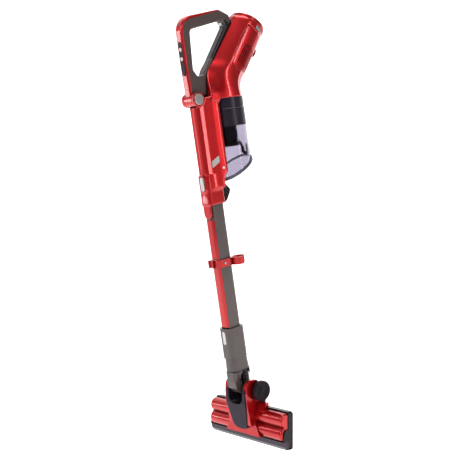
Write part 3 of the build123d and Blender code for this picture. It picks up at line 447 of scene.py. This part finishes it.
def polygon_field(u, v, points):
    """Signed distance to a closed outline, negative inside."""
    nearest = np.full(np.broadcast(u, v).shape, 1e9)
    sign = np.ones_like(nearest)
    for (ax, ay), (bx, by) in zip(points, points[-1:] + points[:-1]):
        ex, ey = bx - ax, by - ay
        wx, wy = u - ax, v - ay
        along = np.clip((wx * ex + wy * ey) / (ex * ex + ey * ey), 0, 1)
        nearest = np.minimum(nearest, (wx - ex * along) ** 2 + (wy - ey * along) ** 2)
        above, below, left = v >= ay, v < by, ex * wy > ey * wx
        sign = np.where((above & below & left) | (~above & ~below & ~left), -sign, sign)
    return sign * np.sqrt(nearest)


def join(a, b, soft=0.0):
    """Union of two fields with a soft fillet."""
    if not soft:
        return np.minimum(a, b)
    h = np.maximum(soft - np.abs(a - b), 0) / soft
    return np.minimum(a, b) - h * h * soft / 4


def cut(a, b, soft=0.0):
    """Field a with field b taken away, with a softened edge."""
    return -join(-a, b, soft)


def common(a, b, soft=0.0):
    """Overlap of two fields, with a softened edge."""
    return -join(-a, -b, soft)


def slab(value, low, high):
    """Everything between two parallel planes."""
    return np.maximum(low - value, value - high)


def oval_field(x, z, centre, length, width):
    """Upright oval seen from the front."""
    reach = (length - width) / 2
    return np.hypot(x, np.maximum(np.abs(z - centre) - reach, 0)) - width / 2


def tilted_frame(y, z):
    """Distance behind the tilted axis of the housing and height along it."""
    behind = (y - HOUSING_FOOT.y) * math.cos(TILT) - (z - HOUSING_FOOT.z) * math.sin(TILT)
    along = (y - HOUSING_FOOT.y) * math.sin(TILT) + (z - HOUSING_FOOT.z) * math.cos(TILT)
    return behind, along


def bend_weight(y, z):
    """Zero where the housing stands upright, one where it is tilted, smooth between."""
    mitre = (y - CUP_AXIS_Y) * math.sin(TILT / 2) + (z - BEND_Z) * math.cos(TILT / 2)
    weight = np.clip(mitre / BEND_LENGTH + 0.5, 0, 1)
    return weight * weight * (3 - 2 * weight)


def mix(weight, first, second):
    """Value between two others."""
    return (1 - weight) * first + weight * second


def handle_wedge(half, z, bend, behind, along):
    """Wedge under the rear bar of the handle: full width low down, two narrow lips higher up."""
    share = (along - WEDGE_START) / WEDGE_LENGTH
    low_lip = np.interp(z, SHOULDER_Z, (SHOULDER_DEPTH, LIP_LOW))
    low_nose = np.interp(z, SHOULDER_Z, (SHOULDER_HALF, LIP_HALF))
    lip = mix(bend, low_lip, mix(share, LIP_LOW, LIP_HIGH))
    root = mix(bend, ROOT_LOW, mix(share, ROOT_LOW, ROOT_HIGH))
    nose = mix(bend, low_nose, LIP_HALF)
    flank = (half - nose) * (lip - root) + (-behind - lip) * (WEDGE_HALF - nose)
    flank = flank / np.hypot(lip - root, WEDGE_HALF - nose)
    ends = np.maximum(COLLAR_TOP - 2 - z, along - (WEDGE_START + WEDGE_LENGTH))
    limits = np.maximum(half - WEDGE_HALF, np.maximum(ends, behind))
    return common(np.maximum(flank, -behind - lip), limits, soft=6)


def rounded_column(half, across, half_x, half_y, corner):
    """Endless upright column with rounded corners."""
    past_x = np.maximum(half - (half_x - corner), 0)
    past_y = np.maximum(np.abs(across) - (half_y - corner), 0)
    return np.hypot(past_x, past_y) - corner


def add_socket(body, x, half, y, z):
    """Adds the wand socket, its front tongue and the boss of the release button."""
    section = rounded_column(half, y - SOCKET_Y, SOCKET_HALF_X, SOCKET_HALF_Y, SOCKET_CORNER_R)
    socket = common(section, slab(z, *SOCKET_Z), soft=1)
    tongue = common(oval_field(x, z, TONGUE_Z, 64, 30), slab(y, *TONGUE_Y), soft=2)
    boss = common(oval_field(x, z, BUTTON_Z, 46, 24), slab(y, *BOSS_Y), soft=2)
    body = join(body, socket, soft=6)
    body = join(body, tongue, soft=3)
    return join(body, boss, soft=4)


def add_hinge(body, half, y, z):
    """Adds the hinge ears and clears the room of the knuckle, of the buttons and of the rear bar."""
    from_axis = np.hypot(y - HINGE_Y, z - HINGE_Z)
    ears = np.maximum(from_axis - HINGE_R, np.abs(half - EAR_X) - EAR_HALF)
    body = join(body, ears, soft=3)
    knuckle_room = np.maximum(from_axis - HINGE_R - 1, half - KNUCKLE_HALF)
    body = cut(body, knuckle_room)
    foot_room = np.maximum(slab(y, *HANDLE_FOOT_Y), slab(z, *HANDLE_FOOT_Z))
    body = cut(body, np.maximum(foot_room, half - KNUCKLE_HALF))
    button_seats = np.maximum(from_axis - HINGE_BUTTON_R, slab(half, *HINGE_BUTTON_X))
    body = cut(body, button_seats)
    return cut(body, np.maximum(polygon_field(y, z, GROOVE), half - HANDLE_HALF), soft=2.5)


def cut_socket(body, x, half, y, z):
    """Clears the wand bore, the seat of the release button and the slot of the cup lever."""
    bore = rounded_column(half, y, WAND_HALF_X, WAND_HALF_Y, WAND_CORNER_R)
    body = cut(body, np.maximum(bore, z - WAND_TOP))
    body = cut(body, np.maximum(oval_field(x, z, BUTTON_Z, 38, 16), y - BUTTON_SEAT_Y))
    lever_slot = np.maximum(slab(z, *LEVER_Z), half - LEVER_HALF)
    return cut(body, np.maximum(slab(y, *LEVER_Y), lever_slot))


def cut_housing(body, x, half, behind, along):
    """Clears the pocket of the silver latch on the near side and the windows behind the louvres."""
    pocket = np.maximum(slab(behind, *LATCH_BEHIND), slab(along, *LATCH_ALONG))
    body = cut(body, np.maximum(slab(x, *LATCH_X), pocket))
    window = np.maximum(slab(along, *WINDOW_ALONG), WINDOW_NEAREST_X - half)
    return cut(body, np.maximum(slab(behind, *WINDOW_BEHIND), window), soft=2)


def panel_recess(x, half, behind, along):
    """Shallow recess in which a louvre panel sits on the round housing."""
    outline = polygon_field(behind, along, PANEL) - PANEL_GAP
    seat = np.maximum(PANEL_SEAT_R - np.hypot(x, behind), PANEL_NEAREST_X - half)
    return np.maximum(outline, seat)


def add_eye(body, half, behind, along):
    """Adds the hanging eye at the back of the housing."""
    body = join(body, np.maximum(polygon_field(behind, along, EYE), half - HOOK_HALF), soft=3)
    bore = np.hypot(behind - HOOK_CENTRE[0], along - HOOK_CENTRE[1]) - HOOK_BORE
    return cut(body, bore)


def body_field(x, y, z):
    """The red body: front spine, shoulder, motor housing, hinge ears and wand socket as one form."""
    half = np.abs(x)
    behind, along = tilted_frame(y, z)
    bend = bend_weight(y, z)
    bent = mix(bend, y - CUP_AXIS_Y, behind)
    spine = common(polygon_field(half, y, FLANK), polygon_field(y, z, SPINE_OUTLINE), soft=5)
    housing = common(np.hypot(x, bent) - HOUSING_R, COLLAR_TOP - z, soft=2)
    wedge = handle_wedge(half, z, bend, bent, along)
    body = join(spine, join(housing, wedge, soft=30), soft=5)
    body = common(body, along - HOUSING_TOP)
    body = cut(body, panel_recess(x, half, behind, along), soft=1)
    body = add_eye(body, half, behind, along)
    # the dust cup slides out below the housing
    far_inside = -50
    body = np.maximum(body, np.where(y > CUP_SIDE_Y, COLLAR_TOP - z, far_inside))
    body = add_socket(body, x, half, y, z)
    body = add_hinge(body, half, y, z)
    body = cut_socket(body, x, half, y, z)
    return cut_housing(body, x, half, behind, along)


def grid_mesh(name, field, low, high, step):
    """Turns the zero surface of a field into a mesh object in the row frame."""
    axes = [np.arange(a, b, step) for a, b in zip(low, high)]
    values = field(axes[0][:, None, None], axes[1][None, :, None], axes[2][None, None, :])
    reach = 3 * step
    grid = openvdb.FloatGrid(reach)
    grid.copyFromArray(np.ascontiguousarray(np.clip(values, -reach, reach), dtype=np.float32))
    grid.transform = openvdb.createLinearTransform(voxelSize=step)
    points, quads = grid.convertToQuads(isovalue=0.0)
    origin = at(*low)
    mesh = bpy.data.meshes.new(name)
    mesh.vertices.add(len(points))
    mesh.vertices.foreach_set("co", (points / 1000 + np.array(origin)).astype(np.float32).ravel())
    mesh.loops.add(4 * len(quads))
    mesh.loops.foreach_set("vertex_index", quads.astype(np.int32).ravel())
    mesh.polygons.add(len(quads))
    mesh.polygons.foreach_set("loop_start", np.arange(0, 4 * len(quads), 4, dtype=np.int32))
    mesh.polygons.foreach_set("use_smooth", np.ones(len(quads), dtype=bool))
    mesh.update(calc_edges=True)
    mesh.validate()
    shape = bpy.data.objects.new(name, mesh)
    bpy.context.collection.objects.link(shape)
    bm = bmesh.new()
    bm.from_mesh(mesh)
    bmesh.ops.recalc_face_normals(bm, faces=bm.faces)
    bm.to_mesh(mesh)
    bm.free()
    return shape


def red_body():
    """One smooth red shell in place of the plain CAD spine and housing."""
    shell = grid_mesh("body_shell", body_field, BODY_LOW, BODY_HIGH, GRID)
    relax = shell.modifiers.new("relax", "SMOOTH")
    relax.factor = 0.5
    relax.iterations = 3
    shell.data.materials.append(RED)
    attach(shell, "main_body")
    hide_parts("spine_shell", "motor_housing")


red_body()


def bellows():
    """Ribbed rubber hose between the swivel and the floor head."""
    ribs = 14
    steps = 6
    around = 48
    axis_y = 22
    top, bottom = 53.6, -35
    inner, valley, crest = 10.5, 12.2, 14.4
    outline = []
    for step in range(ribs * steps + 1):
        height = bottom + (top - bottom) * step / (ribs * steps)
        wave = 0.5 - 0.5 * math.cos(2 * math.pi * step / steps)
        outline.append((valley + (crest - valley) * wave, height))
    outline += [(inner, top), (inner, bottom)]
    points = []
    for turn in range(around):
        angle = 2 * math.pi * turn / around
        points += [at(r * math.cos(angle), axis_y + r * math.sin(angle), z) for r, z in outline]
    count = len(outline)
    faces = []
    for turn in range(around):
        here, there = turn * count, (turn + 1) % around * count
        for i in range(count):
            after = (i + 1) % count
            faces.append((here + i, there + i, there + after, here + after))
    mesh = bpy.data.meshes.new("bellows")
    mesh.from_pydata(points, [], faces)
    for polygon in mesh.polygons:
        polygon.use_smooth = True
    mesh.materials.append(BELLOWS)
    hose = bpy.data.objects.new("bellows", mesh)
    bpy.context.collection.objects.link(hose)
    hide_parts("bellows_hose")
    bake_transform(hose)


bellows()


# ---------------------------------------------------------------- stage
def sweep_floor():
    """A pale floor that curves up into the backdrop, below and behind the machine."""
    low = size_before[0].z - 0.02
    back = Vector((-0.745, 0.652, 0)).normalized()
    side = Vector((back.y, -back.x, 0))
    flat_front, flat_back = -4.0, 1.2
    sweep_radius = 1.5
    wall_top = 6.0
    half_width = 6.0
    profile = [(flat_front, 0.0), (flat_back, 0.0)]
    for angle in np.linspace(0.1, math.pi / 2, 16):
        profile.append((flat_back + sweep_radius * math.sin(angle), sweep_radius * (1 - math.cos(angle))))
    profile.append((flat_back + sweep_radius, wall_top))
    mesh = bpy.data.meshes.new("studio_floor")
    points = []
    for along, up in profile:
        for across in (-half_width, half_width):
            points.append(back * along + side * across + Vector((0, 0, low + up)))
    faces = [(2 * i, 2 * i + 1, 2 * i + 3, 2 * i + 2) for i in range(len(profile) - 1)]
    mesh.from_pydata(points, [], faces)
    for polygon in mesh.polygons:
        polygon.use_smooth = True
    floor = bpy.data.objects.new("studio_floor", mesh)
    bpy.context.collection.objects.link(floor)
    paint, tree, shader = new_material("studio_white")
    coords = object_coords(tree)
    color = mix_colors(tree, noise(tree, coords, 1.2), (0.90, 0.90, 0.90), (0.93, 0.93, 0.93))
    tree.links.new(color, shader.inputs["Base Color"])
    shader.inputs["Roughness"].default_value = 0.9
    shader.inputs["Emission Color"].default_value = (1, 1, 1, 1)
    shader.inputs["Emission Strength"].default_value = 0.75
    mesh.materials.append(paint)


def area_light(name, place, target, width, height, power):
    """A soft rectangular white lamp aimed at a point."""
    data = bpy.data.lights.new(name, "AREA")
    data.shape = "RECTANGLE"
    data.size = width
    data.size_y = height
    data.energy = power
    lamp = bpy.data.objects.new(name, data)
    lamp.location = place
    lamp.rotation_mode = "QUATERNION"
    lamp.rotation_quaternion = (target - place).to_track_quat("-Z", "Y")
    bpy.context.collection.objects.link(lamp)


def dark_card(name, place, target, width, height):
    """A matt black panel beside the set that gives the glossy sides their dark reflections."""
    mesh = bpy.data.meshes.new(name)
    right, top = width / 2, height / 2
    corners = [(-right, -top, 0), (right, -top, 0), (right, top, 0), (-right, top, 0)]
    mesh.from_pydata(corners, [], [(0, 1, 2, 3)])
    card = bpy.data.objects.new(name, mesh)
    card.rotation_mode = "QUATERNION"
    card.rotation_quaternion = (target - place).to_track_quat("Z", "Y")
    card.location = place
    bpy.context.collection.objects.link(card)
    mesh.materials.append(CARD)


def studio():
    """Dim white surroundings, four soft boxes and two dark cards round the middle of the wand."""
    world = bpy.data.worlds.new("studio_world")
    world.use_nodes = True
    background = world.node_tree.nodes["Background"]
    background.inputs["Color"].default_value = (1, 1, 1, 1)
    background.inputs["Strength"].default_value = 0.2
    bpy.context.scene.world = world
    middle = at(0, 40, 430)
    area_light("key_box", middle + Vector((0.9, -2.6, 1.9)), middle, 0.5, 2.2, 48)
    area_light("side_box", middle + Vector((2.6, 0.5, 0.9)), middle, 0.3, 2.4, 20)
    area_light("left_box", middle + Vector((-1.9, -1.6, 0.9)), middle, 0.1, 2.4, 9)
    area_light("top_box", middle + Vector((0.3, 0.4, 2.8)), middle, 1.2, 1.2, 34)
    dark_card("card_front", middle + Vector((-0.5, -3.2, 0.0)), middle, 1.0, 3.0)
    dark_card("card_right", middle + Vector((3.2, -0.9, -0.1)), middle, 1.0, 3.0)
    bpy.context.scene.view_settings.view_transform = "Standard"


def camera():
    """Looks from the front right, a little above, rolled so that the wand leans to the left."""
    place = at(1675.6, -1422.0, 745.6)
    forward = Vector((-0.7451, 0.6518, -0.1415)).normalized()
    up = Vector((-0.0142, 0.1966, 0.9804))
    right = forward.cross(up).normalized()
    up = right.cross(forward)
    data = bpy.data.cameras.new("photo_camera")
    data.sensor_width = 36
    data.lens = 66.36
    data.clip_start = 0.05
    data.clip_end = 60
    lens = bpy.data.objects.new("photo_camera", data)
    turn = Matrix((right, up, -forward)).transposed()
    lens.matrix_world = Matrix.Translation(place) @ turn.to_4x4()
    bpy.context.collection.objects.link(lens)
    bpy.context.scene.camera = lens


sweep_floor()
studio()
camera()
